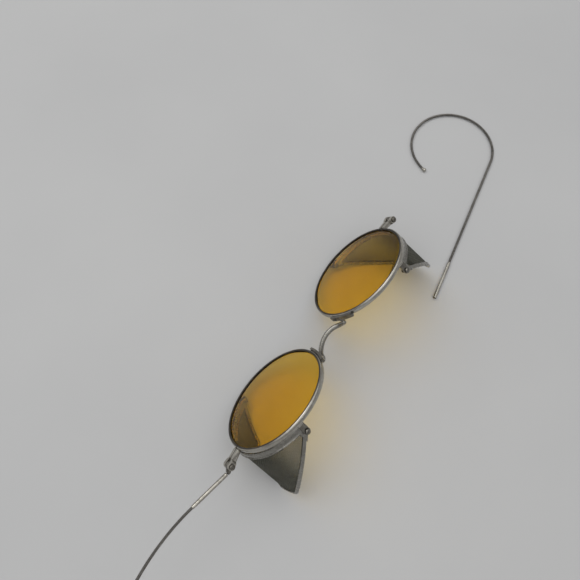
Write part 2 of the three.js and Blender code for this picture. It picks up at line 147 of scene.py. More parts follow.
# Solder: half sizes, how far the rounded ends draw in, and where each block sits on what it joins
SOLDER_SQUARENESS = 0.45
FOOT_SOLDER_INSET = 1.5
FOOT_SOLDER = (GAP / 2 + 0.12, 0.8)
END_SOLDER = (GAP / 2 + 0.14, 0.5, 0.72)
END_SOLDER_ROUNDING = 0.12
END_SOLDER_FROM_HINGE = 0.85
END_SOLDER_DEPTH = -1.15
LUG_SOLDER = (LUG_HALF_WIDTH - 0.1, TAB_THICKNESS / 2 + 0.16, 0.42)
LUG_SOLDER_ROUNDING = 0.14
LUG_SOLDER_RISE = 0.02
BRIDGE_SOLDER = (0.62, 0.66, 1.15)
BRIDGE_SOLDER_ROUNDING = 0.3
BRIDGE_SOLDER_OUT = 0.1
BRIDGE_SOLDER_RISE = 0.75

# Smoothness: points and sides of the curved pieces, and how edges are shaded and rounded
LENS_RINGS = 24
LENS_SIDES = 192
RIM_STEPS = 257
RIM_ARC_POINTS = 13
FOOT_SOLDER_STEPS = 24
FOOT_SOLDER_SIDES = 16
SOLDER_SIDES = 24
RIVET_SIDES = 32
FRONT_FOLD_STEPS = 97
REAR_FOLD_STEPS = 181
FOLD_BEND_POINTS = 9
WEAVE_SIDES = 4
BRIDGE_SPAN_STEPS = 14
BRIDGE_SIDES = 24
SLEEVE_SIDES = 40
CORE_STEPS = 240
CORE_SIDES = 10
WINDING_STEPS = 9
WINDING_SIDES = 6
TIP_SIDES = 32
TIP_ARC_POINTS = 18
SHARP_ANGLE = 50
BEVEL_ANGLE = 32
BEVEL_SEGMENTS = 3
WELD_DISTANCE = 1e-6

# Glass: its colour where it is darkest and lightest, and what reaches the table through it
GLASS_DARKEST = (0.87, 0.545, 0.048)
GLASS_LIGHTEST = (0.92, 0.59, 0.062)
GLASS_GLOW = (0.95, 0.88, 0.62, 1)
GLASS_IOR = 1.28
GLASS_SMEAR = 0.012
GLASS_HAIRS = 0.03

# Table, in metres, just under the object
TABLE_HALF = 3.0
TABLE_DROP = 0.00002
TABLE_DARKEST = (0.485, 0.488, 0.492)
TABLE_LIGHTEST = (0.515, 0.518, 0.52)
TABLE_GRAIN = (0.42, 0.42, 0.41)

# Light: a large disk, in metres and watts, and the sky's levels from straight below to overhead
KEY_AT = (-0.45, 0.35, 1.0)
KEY_SIZE = 0.8
KEY_WATTS = 2.9
KEY_COLOUR = (1.0, 0.985, 0.96)
SKY_LEVELS = [(0.0, 0.5), (0.2, 0.42), (0.34, 0.2), (0.48, 0.3), (0.68, 0.9), (1.0, 1.1)]

# Camera, in millimetres from the middle of the bridge; its near clip is in metres
CAMERA_FROM_BRIDGE = (-10.48, -60.69, 200.31)
CAMERA_TILT = 21.296
CAMERA_LENS = 32.28
CAMERA_SENSOR = 36
CAMERA_NEAR = 0.01


def turn(angle, axis):
    return Matrix.Rotation(math.radians(angle), 4, axis)


def shift(x, y, z):
    return Matrix.Translation((x, y, z))


# Frames of the part's groups, in millimetres

def joint_place(name):
    for joint in frame["record"]["behaviour"]["joints"]:
        if joint["name"] == name:
            return Vector(joint["pos_m"]) / MM
    raise ValueError(name)


def lens_in_face(side):
    mirror = 1 if side == "right" else -1
    flip = Matrix.Diagonal((mirror, 1, 1, 1))
    return shift(-mirror * LENS_SPACING / 2, 0, 0) @ turn(mirror * FACE_TURN, "Y") @ flip


def face_frame():
    """The middle of the bridge, placed so that the right hinge is where the record has it."""
    turned = turn(HEADING, "Z") @ turn(ROLL, "Y") @ turn(-LEAN, "X")
    hinge = turned @ lens_in_face("right") @ Vector(HINGE)
    return Matrix.Translation(joint_place("right_temple_hinge") - hinge) @ turned


FACE = face_frame()


def lens_frame(side):
    return FACE @ lens_in_face(side)


def corner_frame(side):
    return lens_frame(side) @ turn(SHIELD_TILT, "X")


def shield_frame(side):
    to_pivot = shift(PIVOT[0], 0, PIVOT[2])
    return corner_frame(side) @ to_pivot @ turn(SHIELD_SWING[side], "Y") @ to_pivot.inverted()


def open_frame():
    """Where the right temple's sleeve begins."""
    hinge = lens_frame("right") @ shift(*HINGE)
    return hinge @ turn(RIGHT_TEMPLE_OPEN, "Y") @ shift(NECK_OFFSET, 0, -SLEEVE_START)


def loose_frame():
    """Where the loose temple's sleeve begins, lying on its side."""
    heading = math.radians(LOOSE_TEMPLE_HEADING)
    along = Vector((math.cos(heading), math.sin(heading), 0))
    hookwards = Vector((-along.y, along.x, 0))
    axes = Matrix((Vector((0, 0, -1)), -hookwards, -along)).transposed().to_4x4()
    mouth = Vector(frame["record"]["mounts"][0]["pos_m"]) / MM
    ring_middle = Vector(((SLEEVE_BORE + SLEEVE_RADIUS) / 2, 0, 0))
    return Matrix.Translation(mouth - axes @ ring_middle) @ axes


# Mesh building: every function below takes millimetres in the piece's own frame

def flipped(faces):
    return [tuple(reversed(face)) for face in faces]


def place(name, shape, matrix, body, slot, stands_for=()):
    """A smooth mesh object from (points, faces), placed by a matrix, riding on a body."""
    points, faces = shape
    world = np.asarray(points, float) @ np.array(matrix.to_3x3()).T + np.array(matrix.translation)
    mesh = bpy.data.meshes.new(name)
    mesh.from_pydata((world * MM).tolist(), [], flipped(faces) if matrix.determinant() < 0 else faces)
    mesh.shade_smooth()
    mesh.set_sharp_from_angle(angle=math.radians(SHARP_ANGLE))
    mesh.materials.append(LOOKS[slot])
    piece = bpy.data.objects.new(name, mesh)
    bpy.context.scene.collection.objects.link(piece)
    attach(piece, body)
    if stands_for:
        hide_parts(*stands_for)
    return piece


def band_faces(first, second, columns):
    """Quads between two rings of points, given by the index of each ring's first point."""
    faces = []
    for column in range(columns):
        after = (column + 1) % columns
        faces.append((first + column, first + after, second + after, second + column))
    return faces


def grid_faces(rows, columns):
    """Quads of a tube of rows rings, each of columns points, with one polygon at each end."""
    faces = []
    for row in range(rows - 1):
        faces += band_faces(row * columns, (row + 1) * columns, columns)
    last = (rows - 1) * columns
    return faces + [tuple(reversed(range(columns))), tuple(range(last, last + columns))]


def lathe(profile, sides):
    """A solid turned about Z: its (radius, z) points join up, or start and end on the axis."""
    closed = profile[0] == profile[-1]
    rings = profile[:-1] if closed else profile[1:-1]
    angles = np.linspace(0, 2 * math.pi, sides, endpoint=False)
    points = [(r * math.cos(a), r * math.sin(a), z) for r, z in rings for a in angles]
    count = len(rings)
    faces = []
    for ring in range(count if closed else count - 1):
        faces += band_faces(ring * sides, (ring + 1) % count * sides, sides)
    if not closed:
        bottom = len(points)
        points += [(0, 0, profile[0][1]), (0, 0, profile[-1][1])]
        last = (count - 1) * sides
        for k in range(sides):
            after = (k + 1) % sides
            faces.append((bottom, after, k))
            faces.append((bottom + 1, last + k, last + after))
    return outward(np.array(points), faces)


def outward(points, faces):
    """The same mesh with its faces turned to point out, judged by its volume."""
    volume = 0.0
    for face in faces:
        a = points[face[0]]
        for i in range(1, len(face) - 1):
            volume += np.dot(a, np.cross(points[face[i]], points[face[i + 1]]))
    return points, flipped(faces) if volume < 0 else faces


def swept(path, across, along, section):
    """A closed section of (across, along) points carried along a path, with both directions at each step."""
    path, across, along = (np.asarray(values, float) for values in (path, across, along))
    section = np.asarray(section, float)
    if section.ndim == 2:
        section = np.repeat(section[None], len(path), axis=0)
    points = (
        path[:, None, :]
        + section[:, :, 0:1] * across[:, None, :]
        + section[:, :, 1:2] * along[:, None, :]
    ).reshape(-1, 3)
    return outward(points, grid_faces(len(path), section.shape[1]))


def joined(parts):
    """Several (points, faces) meshes as one."""
    points, faces, start = [], [], 0
    for part_points, part_faces in parts:
        points.append(part_points)
        faces.extend(tuple(index + start for index in face) for face in part_faces)
        start += len(part_points)
    return np.vstack(points), faces


def frames_along(path, reference):
    """Unit directions across and along a reference at each point of a path."""
    tangents = np.gradient(path, axis=0)
    tangents /= np.linalg.norm(tangents, axis=1)[:, None]
    across = np.cross(tangents, reference)
    across /= np.linalg.norm(across, axis=1)[:, None]
    return across, np.cross(across, tangents)


def ring_directions(angles):
    """Unit directions out from the lens axis at some angles, and the way forward at each."""
    outwards = np.stack([np.cos(angles), np.sin(angles), 0 * angles], axis=1)
    return outwards, np.repeat([[0.0, 0.0, 1.0]], len(angles), axis=0)


def round_section(half_across, half_along, sides):
    angles = np.linspace(0, 2 * math.pi, sides, endpoint=False)
    return np.stack([half_across * np.cos(angles), half_along * np.sin(angles)], axis=1)


def tube(path, reference, radius, sides):
    across, along = frames_along(path, reference)
    return swept(path, across, along, round_section(radius, radius, sides))


def squared(value):
    return math.copysign(abs(value) ** SOLDER_SQUARENESS, value)


def seam(half_sizes, centre, rounding):
    """A rounded block of solder."""
    hx, hy, hz = half_sizes
    shoulder = hz - rounding
    drawn_in = 0.3 * rounding
    rings = ((-hz, rounding), (-shoulder, drawn_in), (0, 0), (shoulder, drawn_in), (hz, rounding))
    points = []
    for z, inset in rings:
        for angle in np.linspace(0, 2 * math.pi, SOLDER_SIDES, endpoint=False):
            x = squared(math.cos(angle)) * (hx - inset)
            y = squared(math.sin(angle)) * (hy - inset)
            points.append((centre[0] + x, centre[1] + y, centre[2] + z))
    return outward(np.array(points), grid_faces(len(rings), SOLDER_SIDES))


# Materials: places are in metres, so the scales of noises are per metre

def fill_ramp(ramp, stops):
    """A colour ramp from (position, colour) stops, each colour being a tuple or one grey level."""
    while len(ramp.elements) < len(stops):
        ramp.elements.new(0.5)
    for element, (position, colour) in zip(ramp.elements, stops):
        element.position = position
        element.color = (*colour, 1) if isinstance(colour, tuple) else (colour, colour, colour, 1)


class Nodes:
    """A short way to wire a material's nodes."""

    def __init__(self, name):
        self.material = bpy.data.materials.new(name)
        self.material.use_nodes = True
        self.tree = self.material.node_tree
        self.tree.nodes.clear()
        self.output = self.tree.nodes.new("ShaderNodeOutputMaterial")
        self.place = self.tree.nodes.new("ShaderNodeTexCoord").outputs["Object"]

    def link(self, source, target):
        self.tree.links.new(source, target)

    def stretched(self, scale, angles):
        node = self.tree.nodes.new("ShaderNodeMapping")
        node.inputs["Scale"].default_value = scale
        node.inputs["Rotation"].default_value = angles
        self.link(self.place, node.inputs["Vector"])
        return node.outputs["Vector"]

    def noise(self, scale, detail, roughness, vector=None, distortion=0.0):
        node = self.tree.nodes.new("ShaderNodeTexNoise")
        node.inputs["Scale"].default_value = scale
        node.inputs["Detail"].default_value = detail
        node.inputs["Roughness"].default_value = roughness
        node.inputs["Distortion"].default_value = distortion
        self.link(vector or self.place, node.inputs["Vector"])
        return node.outputs["Fac"]

    def feed(self, value, socket):
        """A socket takes another's output, a colour or a plain number."""
        if isinstance(value, bpy.types.NodeSocket):
            self.link(value, socket)
        elif isinstance(value, tuple):
            socket.default_value = (*value, 1)
        else:
            socket.default_value = value

    def ramp(self, value, stops):
        node = self.tree.nodes.new("ShaderNodeValToRGB")
        fill_ramp(node.color_ramp, stops)
        self.link(value, node.inputs["Fac"])
        return node.outputs["Color"]

    def mix(self, share, first, second):
        node = self.tree.nodes.new("ShaderNodeMix")
        node.data_type = "RGBA"
        for index, value in ((0, share), (6, first), (7, second)):
            self.feed(value, node.inputs[index])
        return node.outputs[2]

    def maths(self, operation, first, second):
        node = self.tree.nodes.new("ShaderNodeMath")
        node.operation = operation
        for socket, value in zip(node.inputs, (first, second)):
            self.feed(value, socket)
        return node.outputs[0]

    def times(self, first, second):
        return self.maths("MULTIPLY", first, second)

    def bump(self, height, distance, strength, before=None):
        node = self.tree.nodes.new("ShaderNodeBump")
        node.inputs["Distance"].default_value = distance
        node.inputs["Strength"].default_value = strength
        self.link(height, node.inputs["Height"])
        if before:
            self.link(before, node.inputs["Normal"])
        return node.outputs["Normal"]

    def finished(self, shader):
        self.link(shader.outputs[0], self.output.inputs["Surface"])
        return self.material


def metal(name, clean, worn, tarnish, rough, pits=1.0, metallic=0.92):
    """Old plated metal: clouded tarnish, rubbed spots, pits and fine random scratches."""
    n = Nodes(name)
    clouds = n.ramp(n.noise(140, 6, 0.6, distortion=0.3), [(0.28, 0.0), (0.72, 1.0)])
    mottle = n.ramp(n.noise(900, 4, 0.6), [(0.3, 0.0), (0.7, 1.0)])
    colour = n.mix(n.maths("ADD", n.times(clouds, 0.65), n.times(mottle, 0.35)), tarnish, clean)
    rubbed = n.ramp(n.noise(650, 3, 0.6), [(0.6, 0.0), (0.78, 1.0)])
    colour = n.mix(n.times(rubbed, 0.6), colour, worn)
    specks = n.ramp(n.noise(3600, 2, 0.5), [(0.64, 0.0), (0.7, 1.0)])
    colour = n.mix(n.times(specks, 0.5 * pits), colour, tuple(0.45 * c for c in tarnish))
    scratch_a = n.noise(900, 2, 0.5, n.stretched((9, 0.5, 0.7), (0.3, 0.5, 0.9)))
    scratch_b = n.noise(1100, 2, 0.5, n.stretched((0.5, 8, 0.6), (0.8, 0.2, 0.4)))
    scratches = n.ramp(n.maths("MAXIMUM", scratch_a, scratch_b), [(0.64, 0.0), (0.71, 1.0)])
    shader = n.tree.nodes.new("ShaderNodeBsdfPrincipled")
    n.link(n.mix(n.times(scratches, 0.3), colour, worn), shader.inputs["Base Color"])
    shader.inputs["Metallic"].default_value = metallic
    roughness = n.ramp(n.noise(420, 5, 0.6), [(0.3, rough - 0.08), (0.7, rough + 0.12)])
    n.link(n.maths("SUBTRACT", roughness, n.times(scratches, 0.08)), shader.inputs["Roughness"])
    dents = n.bump(n.noise(300, 3, 0.5), 0.00008, 0.35)
    pitted = n.bump(specks, 0.00002, 0.5 * pits, dents)
    n.link(n.bump(scratches, 0.000008, 0.5, pitted), shader.inputs["Normal"])
    return n.finished(shader)


def amber_glass(name):
    """Amber glass with a faint streak in its colour, smears and light scratches, which lets lamps through."""
    n = Nodes(name)
    streak = n.ramp(n.noise(45, 3, 0.5, distortion=0.6), [(0.25, GLASS_DARKEST), (0.75, GLASS_LIGHTEST)])
    smear = n.ramp(n.noise(110, 5, 0.6, distortion=1.2), [(0.45, 0.0), (0.8, GLASS_SMEAR)])
    hair_places = n.stretched((7, 0.4, 0.4), (0.2, 0.1, 0.7))
    hairs = n.ramp(n.noise(500, 2, 0.5, hair_places), [(0.66, 0.0), (0.7, 1.0)])
    shader = n.tree.nodes.new("ShaderNodeBsdfPrincipled")
    n.link(streak, shader.inputs["Base Color"])
    shader.inputs["Transmission Weight"].default_value = 1.0
    shader.inputs["IOR"].default_value = GLASS_IOR
    n.link(n.maths("ADD", smear, n.times(hairs, GLASS_HAIRS)), shader.inputs["Roughness"])
    waves = n.bump(n.noise(60, 2, 0.4), 0.0001, 0.12)
    n.link(n.bump(hairs, 0.000004, 0.4, waves), shader.inputs["Normal"])
    clear = n.tree.nodes.new("ShaderNodeBsdfTransparent")
    clear.inputs["Color"].default_value = GLASS_GLOW
    lamps = n.tree.nodes.new("ShaderNodeLightPath")
    choice = n.tree.nodes.new("ShaderNodeMixShader")
    n.link(lamps.outputs["Is Shadow Ray"], choice.inputs[0])
    n.link(shader.outputs[0], choice.inputs[1])
    n.link(clear.outputs[0], choice.inputs[2])
    return n.finished(choice)


def pale_table(name):
    """A smooth, faintly mottled pale grey board."""
    n = Nodes(name)
    tone = n.ramp(n.noise(9, 4, 0.5), [(0.3, TABLE_DARKEST), (0.7, TABLE_LIGHTEST)])
    grain = n.noise(1500, 3, 0.6)
    shader = n.tree.nodes.new("ShaderNodeBsdfPrincipled")
    n.link(n.mix(n.times(grain, 0.08), tone, TABLE_GRAIN), shader.inputs["Base Color"])
    shader.inputs["Roughness"].default_value = 0.75
    shader.inputs["Specular IOR Level"].default_value = 0.2
    n.link(n.bump(grain, 0.00003, 0.2), shader.inputs["Normal"])
    return n.finished(shader)


# Metals by their clean, rubbed and tarnished colours and their roughness
LOOKS = {
    "nickel": metal("worn_nickel", (0.55, 0.53, 0.48), (0.74, 0.71, 0.65), (0.27, 0.25, 0.215), 0.18),
    # dark_nickel: tarnished metal, also used on the lugs as painted shade
    "dark_nickel": metal(
        "tarnished_nickel_and_shade", (0.27, 0.255, 0.225), (0.5, 0.48, 0.43), (0.1, 0.09, 0.075), 0.17,
    ),
    "binding": metal("rubbed_sheet", (0.36, 0.35, 0.32), (0.58, 0.565, 0.52), (0.17, 0.16, 0.14), 0.24),
    "gauze": metal(
        "lacquered_wire", (0.13, 0.13, 0.11), (0.26, 0.26, 0.22), (0.06, 0.06, 0.048), 0.42,
        pits=0.4, metallic=0.75,
    ),
    "cable": metal("wound_wire", (0.26, 0.25, 0.23), (0.44, 0.42, 0.39), (0.12, 0.11, 0.1), 0.32, pits=0.6),
    # lip: a darker metal that paints shade on the eyewire's inner side beside the lens
    "lip": metal("lip_painted_shade", (0.1, 0.09, 0.078), (0.24, 0.225, 0.195), (0.035, 0.03, 0.026), 0.35),
    "lens": amber_glass("amber_glass"),
}


# Lenses and eyewires

def lens_profile():
    middle = -RIM_WIDTH / 2
    edge = LENS_RADIUS - LENS_BEVEL

    def bulge(radius):
        return math.sqrt(LENS_CURVE ** 2 - radius ** 2) - math.sqrt(LENS_CURVE ** 2 - edge ** 2)

    radii = [edge * i / LENS_RINGS for i in range(LENS_RINGS + 1)]
    back = [(r, middle - LENS_THICKNESS / 2 + bulge(r)) for r in radii]
    front = [(r, middle + LENS_THICKNESS / 2 + bulge(r)) for r in reversed(radii)]
    return back + [(LENS_RADIUS, middle - 0.05), (LENS_RADIUS, middle + 0.05)] + front


def eyewire_section():
    """The wire's half-round outside and its inner side with the lens groove, as (radius, z) points."""
    middle = -RIM_WIDTH / 2
    half = RIM_WIDTH / 2
    outer = [
        (RIM_RADIUS - RIM_CROWN * (math.sin(a) ** 4), middle + half * math.sin(a))
        for a in np.linspace(-math.pi / 2, math.pi / 2, RIM_ARC_POINTS)
    ]
    inner = [
        (LIP_RADIUS + 0.22, middle + half),
        (LIP_RADIUS + 0.03, middle + half - 0.12),
        (LIP_RADIUS, middle + half - 0.35),
        (LIP_RADIUS + 0.05, middle + 0.7),
        (GROOVE_RADIUS, middle + 0.15),
        (GROOVE_RADIUS, middle - 0.15),
        (LIP_RADIUS + 0.05, middle - 0.7),
        (LIP_RADIUS, middle - half + 0.35),
        (LIP_RADIUS + 0.03, middle - half + 0.12),
        (LIP_RADIUS + 0.22, middle - half),
    ]
    return outer, inner


def eyewire_mesh():
    """The rim's wire, open where its two ends meet at the endpiece."""
    outer, inner = eyewire_section()
    section = [(radius - RIM_RADIUS, z) for radius, z in outer + inner]
    opening = (RIM_SPLIT / 2) / RIM_RADIUS
    start = math.pi - HINGE[1] / RIM_RADIUS
    outwards, forwards = ring_directions(
        np.linspace(start + opening, start + 2 * math.pi - opening, RIM_STEPS)
    )
    return swept(RIM_RADIUS * outwards, outwards, forwards, section)


def paint_lip_shade(piece):
    """Painted shade in the groove beside the lens: the wire's inner side, but not the wire's two ends, takes
    a darker metal.
    """
    outer, inner = (len(points) for points in eyewire_section())
    piece.data.materials.append(LOOKS["lip"])
    for index, face in enumerate(piece.data.polygons[:-2]):
        if outer - 1 <= index % (outer + inner) < outer + inner - 1:
            face.material_index = 1


def rim_seams():
    """Solder between the eyewire and its bridge foot, and between its ends and the endpiece halves."""
    angles = np.linspace(FOOT_TO + FOOT_SOLDER_INSET, FOOT_FROM - FOOT_SOLDER_INSET, FOOT_SOLDER_STEPS)
    outwards, forwards = ring_directions(np.radians(angles))
    middle = RIM_RADIUS + GAP / 2
    section = round_section(*FOOT_SOLDER, FOOT_SOLDER_SIDES)
    parts = [swept(middle * outwards + [0, 0, -RIM_WIDTH / 2], outwards, forwards, section)]
    for sign in (1, -1):
        centre = (-middle, HINGE[1] + sign * END_SOLDER_FROM_HINGE, END_SOLDER_DEPTH)
        parts.append(seam(END_SOLDER, centre, END_SOLDER_ROUNDING))
    return joined(parts)


# Corners and shields

def corner_seams():
    """Solder that holds the two lugs on the back of the eyewire."""
    inner = TAB_Y + TAB_THICKNESS / 2 + GAP
    blocks = []
    for sign in (1, -1):
        front = -RIM_WIDTH - GAP - sign * inner * math.tan(math.radians(SHIELD_TILT))
        centre = (PIVOT[0], sign * (inner + TAB_THICKNESS / 2), front + LUG_SOLDER_RISE)
        blocks.append(seam(LUG_SOLDER, centre, LUG_SOLDER_ROUNDING))
    return joined(blocks)


def rivet_profile(tail_length):
    """A domed head inside, the pin, and a tail outside with a rounded end, as (radius, z) points."""
    inside = TAB_Y - TAB_THICKNESS / 2 - GAP
    outside = TAB_Y + 1.5 * TAB_THICKNESS + 2 * GAP
    tail = outside + tail_length
    dome = inside - 0.12
    shoulder = tail - RIVET_ROUNDING
    edge = RIVET_HEAD - 0.03
    head = [(0, dome - RIVET_DOME)]
    for a in np.radians([15, 30, 45, 60, 75]):
        head.append((RIVET_HEAD * math.sin(a), dome - RIVET_DOME * math.cos(a)))
    head += [(RIVET_HEAD, inside - 0.1), (edge, inside), (PIN_RADIUS, inside)]
    end = [(PIN_RADIUS, outside), (edge, outside), (RIVET_HEAD, outside + 0.06), (RIVET_HEAD, shoulder)]
    for a in np.radians([20, 40, 60, 78]):
        end.append((RIVET_HEAD * math.cos(a), shoulder + RIVET_ROUNDING * math.sin(a)))
    return head + end + [(0, tail)]


def rivet_mesh(sign, tail_length):
    """A rivet at the brow or cheek corner, along Y."""
    points, faces = lathe(rivet_profile(tail_length), RIVET_SIDES)
    x, y, along = points.T
    return outward(np.stack([x + PIVOT[0], sign * along, sign * -y + PIVOT[2]], axis=1), faces)


def rear_depth(angle):
    """How far back the shield reaches at an angle: deepest at its apex, nothing at its corners."""
    brow_side = angle > APEX_ANGLE
    corner = CORNER_ANGLE if brow_side else -CORNER_ANGLE
    power = BROW_EDGE_POWER if brow_side else CHEEK_EDGE_POWER
    share = min(1, (angle - APEX_ANGLE) / (corner - APEX_ANGLE))
    rounded = math.hypot(share, APEX_ROUNDING) - APEX_ROUNDING * (1 - share)
    return SHIELD_DEPTH * (1 - min(1, rounded) ** power)


def rear_slope(angle):
    """How much deeper a strip along the rear edge is when it is measured straight back."""
    rise = rear_depth(angle + 1) - rear_depth(angle - 1)
    return min(STEEPEST_WIDENING, math.hypot(1, rise / (math.radians(2) * SHIELD_RADIUS)))


def shield_point(angle, depth, off):
    """A point of the shield at an angle round it and a depth behind its front, off its surface outwards."""
    share = depth / SHIELD_DEPTH
    turned = math.radians(angle)
    oval = SHIELD_OVAL * math.sin(turned) ** 2
    curl = BROW_CURL * share * math.sin(2 * turned) if angle > 0 else 0
    radius = SHIELD_RADIUS - oval - curl + SHIELD_FLARE * share + off
    return (-radius * math.cos(turned), radius * math.sin(turned), -SHIELD_FRONT - depth)


def fold_section(width, bead):
    """A strip folded over the gauze's edge with a bead at its open edge, as (depth, off) from the fold."""
    half = BINDING_THICKNESS / 2
    slot = half - FOLD_SHEET
    outside = [
        (width, half - 0.1),
        (width - 0.1, half + 0.45 * bead),
        (width - 0.12 - bead, half + bead),
        (width - 0.14 - 2 * bead, half + 0.45 * bead),
        (width - 0.28 - 2 * bead, half - 0.04),
        (half + 0.1, half),
    ]
    arc = np.radians(np.linspace(15, 165, FOLD_BEND_POINTS))
    bend = [(half - half * math.sin(a), half * math.cos(a)) for a in arc]
    under = [(depth, -off) for depth, off in reversed(outside)]
    lips = [
        (width - 0.04, -slot),
        (half + 0.05, -slot),
        (FOLD_SHEET + 0.1, 0.0),
        (half + 0.05, slot),
        (width - 0.04, slot),
    ]
    return outside + bend + under + lips


def binding_mesh(end, steps, fold_at, opens, width_at, bead):
    """A folded binding round the shield: fold_at(angle) is its fold's depth, and it opens back or forward."""
    points = []
    for angle in np.linspace(end, -end, steps):
        faded = bead * min(1.0, (end - abs(angle)) / BEAD_FADE)
        for depth, off in fold_section(width_at(angle), faded):
            points.append(shield_point(angle, fold_at(angle) + opens * depth, off))
    return outward(np.array(points), grid_faces(steps, len(points) // steps))


def front_depth(angle, swing):
    """Where the front binding's fold lies, just behind the eyewire."""
    x, y, _ = shield_point(angle, 0, 0)
    tilt, swung = math.radians(SHIELD_TILT), math.radians(swing)
    behind_rim = -(RIM_WIDTH + COLLAR_GAP + y * math.sin(tilt)) / math.cos(tilt)
    from_pivot = behind_rim - PIVOT[2] + (x - PIVOT[0]) * math.sin(swung)
    return -SHIELD_FRONT - PIVOT[2] - from_pivot / math.cos(swung)


def front_width(angle, swing):
    return min(BINDING_WIDTH, BINDING_REACH - front_depth(angle, swing))


def front_binding_mesh(swing):
    def fold_at(angle):
        return front_depth(angle, swing)

    def width_at(angle):
        return front_width(angle, swing)

    return binding_mesh(FRONT_FOLD_END, FRONT_FOLD_STEPS, fold_at, 1, width_at, FRONT_BEAD)


def rear_width(angle):
    return REAR_BINDING_WIDTH * rear_slope(angle)


def rear_binding_mesh():
    return binding_mesh(REAR_FOLD_END, REAR_FOLD_STEPS, rear_depth, -1, rear_width, REAR_BEAD)


def weave_wire(samples, halves, shifted):
    """One wire of the cloth through (angle, depth) samples, over and under the wires that it crosses."""
    offs = WEAVE_WIRE * np.cos(math.pi * (np.array(halves) / 2 + shifted))
    path = np.array([shield_point(a, d, o) for (a, d), o in zip(samples, offs)])
    middle_angle = math.radians(samples[len(samples) // 2][0])
    outwards = np.array([-math.cos(middle_angle), math.sin(middle_angle), 0.0])
    return tube(path, outwards, WEAVE_WIRE, WEAVE_SIDES)


def gauze_mesh(swing):
    """Plain-woven wire cloth between the bindings: wires run front to back and round the shield."""
    angle_step = math.degrees(WEAVE_PITCH / SHIELD_RADIUS)
    half_count = int(REAR_FOLD_END / angle_step)

    def front(angle):
        return front_depth(angle, swing) + front_width(angle, swing) - WEAVE_TUCK

    def rear(angle):
        return rear_depth(angle) - rear_width(angle) + WEAVE_TUCK

    wires = []
    for k in range(-half_count, half_count + 1):
        angle = k * angle_step
        first = math.ceil(2 * front(angle) / WEAVE_PITCH)
        halves = range(first, math.floor(2 * rear(angle) / WEAVE_PITCH) + 1)
        if len(halves) >= SHORTEST_WEAVE:
            wires.append(weave_wire([(angle, half * WEAVE_PITCH / 2) for half in halves], halves, k))
    first_row = math.floor(min(front(-BINDING_END), front(BINDING_END)) / WEAVE_PITCH)
    for row in range(first_row, int(SHIELD_DEPTH / WEAVE_PITCH)):
        depth = row * WEAVE_PITCH
        run = []
        for half in range(-2 * half_count, 2 * half_count + 2):
            angle = half * angle_step / 2
            if half <= 2 * half_count and front(angle) <= depth <= rear(angle):
                run.append(half)
            elif run:
                if len(run) >= SHORTEST_WEAVE:
                    wires.append(weave_wire([(k * angle_step / 2, depth) for k in run], run, row + 1))
                run = []
    return joined(wires)


# Bridge

def curve_through(route, per_span):
    """A centripetal Catmull-Rom curve through a route's points."""
    points = [Vector(point) for point in route]
    points = [2 * points[0] - points[1]] + points + [2 * points[-1] - points[-2]]
    out = []
    for i in range(1, len(points) - 2):
        p0, p1, p2, p3 = points[i - 1:i + 3]
        t0 = 0.0
        t1 = t0 + (p1 - p0).length ** 0.5
        t2 = t1 + (p2 - p1).length ** 0.5
        t3 = t2 + (p3 - p2).length ** 0.5
        for k in range(per_span):
            t = t1 + (t2 - t1) * k / per_span
            a1 = p0 * ((t1 - t) / (t1 - t0)) + p1 * ((t - t0) / (t1 - t0))
            a2 = p1 * ((t2 - t) / (t2 - t1)) + p2 * ((t - t1) / (t2 - t1))
            a3 = p2 * ((t3 - t) / (t3 - t2)) + p3 * ((t - t2) / (t3 - t2))
            b1 = a1 * ((t2 - t) / (t2 - t0)) + a2 * ((t - t0) / (t2 - t0))
            b2 = a2 * ((t3 - t) / (t3 - t1)) + a3 * ((t - t1) / (t3 - t1))
            out.append(b1 * ((t2 - t) / (t2 - t1)) + b2 * ((t - t1) / (t2 - t1)))
    out.append(points[-2])
    return np.array([tuple(point) for point in out])


def bridge_mesh():
    """The saddle wire: oval over the nose, thinner where it goes down to its feet, with rounded ends."""
    path = curve_through(BRIDGE_ROUTE, BRIDGE_SPAN_STEPS)
    across, along = frames_along(path, (0.0, 1.0, 0.0))
    lengths = np.concatenate([[0], np.cumsum(np.linalg.norm(np.diff(path, axis=0), axis=1))])
    total = lengths[-1]
    sections = []
    for run in lengths:
        at_foot = max(0.0, abs(2 * run / total - 1) - (1 - BRIDGE_FOOT_SHARE)) / BRIDGE_FOOT_SHARE
        wide = BRIDGE_WIDE + (BRIDGE_THIN - BRIDGE_WIDE) * at_foot
        near_end = max(0.0, 1 - min(run, total - run) / BRIDGE_END_LENGTH)
        rounding = max(BRIDGE_END_LEAST, math.sqrt(1 - near_end ** 2))
        sections.append(round_section(wide * rounding, BRIDGE_THIN * rounding, BRIDGE_SIDES))
    return swept(path, across, along, np.array(sections))


def bridge_seams():
    """Solder where each end of the bridge wire meets its foot."""
    blocks = []
    for sign, (x, y, z) in ((-1, BRIDGE_ROUTE[0]), (1, BRIDGE_ROUTE[-1])):
        centre = (x + sign * BRIDGE_SOLDER_OUT, y, z + BRIDGE_SOLDER_RISE)
        blocks.append(seam(BRIDGE_SOLDER, centre, BRIDGE_SOLDER_ROUNDING))
    return joined(blocks)


# Temples

